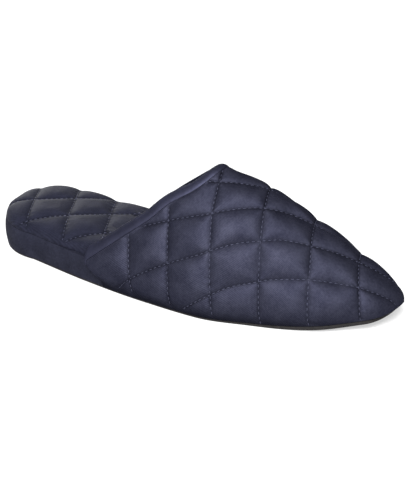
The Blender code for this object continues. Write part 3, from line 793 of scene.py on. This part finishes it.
def ringWeave(rings):
    rings = np.asarray(rings)
    girths = np.cumsum(np.linalg.norm(np.diff(rings, axis=1, prepend=rings[:, :1]), axis=2), axis=1)
    forward = np.cumsum(np.linalg.norm(np.diff(rings.mean(1), axis=0, prepend=rings[:1].mean(1)), axis=1))
    return np.stack([np.broadcast_to(forward[:, None], girths.shape), girths], -1)


# the wedge's satin wrap
wrap = {"heelRings": 90, "levels": 25, "lineRings": 40, "tuck": 0.4, "lip": 0.4, "belly": 0.6, "sideGap": 0.3,
        "endLine": 0.455, "firstTurn": 0.6, "rearGap": 3, "joinFrom": (-100, 48), "joinTuck": 0.1}


def heelSide(x, side, level):
    blend = ramp(x, *wrap["joinFrom"])
    station = x + blend * (last["wingLean"] * (1 - level) + last["wingX"][side] - last["wingX"][-1])
    tuck = wrap["tuck"] * (1 - level) ** 3 + wrap["lip"] * level**8
    belly = wrap["belly"] * math.sin(math.pi * level) * (1 - blend)
    px, py = planPoint(station, side, belly - tuck - wrap["joinTuck"] * blend)
    low = outsoleTop(station) + last["gap"]
    return px, py, low + (readTable(last["footbed"], 1, station) - low) * level


levels = (1 - np.cos(np.linspace(0, math.pi, wrap["levels"]))) / 2
rings = []
for turn in np.radians(np.linspace(wrap["firstTurn"], 90, wrap["heelRings"])):
    x = last["heelX"] + (rearX - wrap["rearGap"] - last["heelX"]) * (1 - math.cos(turn))
    rings.append([heelSide(x, -1, level) for level in levels]
                 + [heelSide(x, 1, level) for level in levels[::-1]])
for line in np.linspace(0.012, wrap["endLine"], wrap["lineRings"]):
    low = outsoleTop(vampFoot(line)[0]) + last["gap"]
    top = readTable(last["footbed"], 1, vampFoot(line)[0])
    heights = low + (top - low) * levels
    rings.append(np.concatenate([insidePoint(line, heights, wrap["sideGap"]),
                                 insidePoint(1 - line, heights[::-1], wrap["sideGap"])]))
wedge = layTube("heelWrap", rings, ringWeave(rings))
shadeSmooth(wedge, 50)
fitOut(wedge, "sole_wedge", "satin_wrap", wrapSatin)
print("heel wrapped", len(wedge.data.polygons))

# the bias binding round the collar
binding = {"width": 7.6, "peakNarrowing": 0.2, "peakFrom": (58, 14), "roll": 2.0, "rollLength": 9,
           "drop": 2.6, "pointLength": 6.0, "pointShare": 0.12, "endThick": 1.2, "thickLength": 12,
           "pathPoints": 90, "sectionPoints": 6,
           "section": ((0, 0), (0.25, -0.08), (0.6, -0.06), (0.86, 0.12), (1, 0.48), (0.9, 0.86),
                       (0.6, 1), (0.25, 1), (0, 1))}  # share of the width, share of the thickness


def roundOff(points, count):
    points = np.asarray(points, dtype=float)
    padded = np.concatenate([2 * points[:1] - points[1:2], points, 2 * points[-1:] - points[-2:-1]])
    path = []
    for i in range(1, len(padded) - 2):
        for t in np.linspace(0, 1, count, endpoint=False):
            a, b, c, d = padded[i - 1:i + 3]
            path.append(0.5 * (2 * b + (c - a) * t + (2 * a - 5 * b + 4 * c - d) * t**2
                               + (3 * b - a - 3 * c + d) * t**3))
    return np.array(path + [points[-1]])


footHeight = vampFoot(0.0)[2]
endHeight = last["seamHeight"] - binding["drop"]
start = math.asin((endHeight - footHeight) / (last["spine"][0][2] - footHeight))
climb = np.linspace(start, math.pi / 2, binding["pathPoints"])
pathLine = np.concatenate([np.zeros(len(climb)), np.ones(len(climb) - 1)])
pathAngle = np.concatenate([climb, climb[-2::-1]])
collar = vampPoint(pathLine, pathAngle)
collarOut = vampNormal(pathLine, pathAngle)
peak = len(climb) - 1
collarOut[peak] = unit(collarOut[peak - 1] + collarOut[peak + 1])
collarAlong = unit(np.gradient(collar, axis=0))
collarBack = unit(np.cross(collarOut, collarAlong))
section = roundOff(binding["section"], binding["sectionPoints"])
thickened = ramp(collar[:, 2], last["seamHeight"], binding["thickLength"])
thick = binding["endThick"] + (last["wall"] - binding["endThick"]) * thickened
width = binding["width"] * (1 - binding["peakNarrowing"] * ramp(collar[:, 2], *binding["peakFrom"]))
widened = ramp(collar[:, 2], endHeight, binding["pointLength"])
point = binding["pointShare"] + (1 - binding["pointShare"]) * widened  # each end narrows to a point
roll = binding["roll"] * ramp(collar[:, 2], endHeight, binding["rollLength"])
behind = last["gap"] + (width * point)[:, None] * section[None, :, 0]
inward = thick[:, None] * section[None, :, 1] + roll[:, None] * section[None, :, 0] ** 2
rings = collar[:, None] + collarBack[:, None] * behind[..., None] - collarOut[:, None] * inward[..., None]
edging = layTube("biasBinding", rings, ringWeave(rings))
shadeSmooth(edging, 55)
fitOut(edging, "collar_binding", "satin_binding", bindingSatin)
print("collar bound", len(edging.data.polygons))

# the thin outsole with its rounded lower edge
tread = {"rings": 150, "edge": ((0.0, 0.6), (0.08, 0.35), (0.2, 0.15), (0.4, 0.0), (0.85, 0.0), (1.0, 0.12))}
rings = []
for turn in np.radians(np.linspace(2, 178, tread["rings"])):
    x = -last["toeX"] * math.cos(turn)
    ring = []
    for side, edge in ((-1, tread["edge"]), (1, tread["edge"][::-1])):
        for lift, inset in edge:
            px, py = planPoint(x, side, -readTable(last["outsole"], 2, x) - inset)
            ring.append((px, py, floorHeight(px) + (outsoleTop(px) - floorHeight(px)) * lift))
    rings.append(ring)
sole = layTube("thinOutsole", rings, ringWeave(rings))
shadeSmooth(sole, 45)
fitOut(sole, "outsole", "outsole", soleRubber)
print("outsole laid", len(sole.data.polygons))

# floor, light and camera
studio = {"floor": "#969696", "floorRoughness": 0.9, "glow": 0.58, "world": "#ffffff", "worldStrength": 0.1,
          "keyFrom": (0.16, -0.60, 0.784), "keyStrength": 8.4, "keySpread": 30.0,
          "fillFrom": (-2.2, 1.9, 0.9), "fillSize": 1.6, "fillPower": 75.0, "aim": (0, 0, 0.03)}
bpy.context.scene.view_settings.view_transform = "Standard"
bpy.ops.object.select_all(action="DESELECT")
bpy.ops.mesh.primitive_plane_add(size=40)
floor = bpy.context.object
floor.name = "studioFloor"
paper = bpy.data.materials.new("mattPaperSweep")
paper.use_nodes = True
paperShader = paper.node_tree.nodes["Principled BSDF"]
paperShader.inputs["Base Color"].default_value = hexColour(studio["floor"])
paperShader.inputs["Roughness"].default_value = studio["floorRoughness"]
# lit from below, so shadows stay pale
paperShader.inputs["Emission Color"].default_value = hexColour(studio["world"])
paperShader.inputs["Emission Strength"].default_value = studio["glow"]
floor.data.materials.append(paper)

world = bpy.data.worlds.new("studioWorld")
world.use_nodes = True
world.node_tree.nodes["Background"].inputs["Color"].default_value = hexColour(studio["world"])
world.node_tree.nodes["Background"].inputs["Strength"].default_value = studio["worldStrength"]
bpy.context.scene.world = world


def aimAtShoe(lamp, spot):
    lamp.rotation_euler = (Vector(studio["aim"]) - Vector(spot)).to_track_quat("-Z", "Y").to_euler()


bpy.ops.object.light_add(type="SUN", location=[4 * c for c in studio["keyFrom"]])
keyLamp = bpy.context.object
keyLamp.name = "distantSoftKey"
keyLamp.data.energy = studio["keyStrength"]
keyLamp.data.angle = math.radians(studio["keySpread"])
aimAtShoe(keyLamp, studio["keyFrom"])
bpy.ops.object.light_add(type="AREA", location=studio["fillFrom"])
fillLamp = bpy.context.object
fillLamp.name = "rearFillSoftBox"
fillLamp.data.size = studio["fillSize"]
fillLamp.data.energy = studio["fillPower"]
aimAtShoe(fillLamp, studio["fillFrom"])

view = {"turn": 27.52, "raise": 28.0, "distance": 0.9, "lens": 106.92, "sensor": 36.0,
        "middleAt": (193.45, 274.79), "picture": (409, 500)}
turn, lift = math.radians(view["turn"]), math.radians(view["raise"])
backward = Vector((math.sin(turn) * math.cos(lift), -math.cos(turn) * math.cos(lift), math.sin(lift)))
middlePoint = Vector(toMetres(np.zeros(3)))
bpy.ops.object.camera_add(location=middlePoint + backward * view["distance"])
camera = bpy.context.object
camera.name = "photoCamera"
camera.rotation_euler = backward.to_track_quat("Z", "Y").to_euler()
camera.data.lens = view["lens"]
camera.data.sensor_width = view["sensor"]
width, height = view["picture"]
camera.data.shift_x = (width / 2 - view["middleAt"][0]) / height
camera.data.shift_y = (view["middleAt"][1] - height / 2) / height
bpy.context.scene.camera = camera
print("stage set")
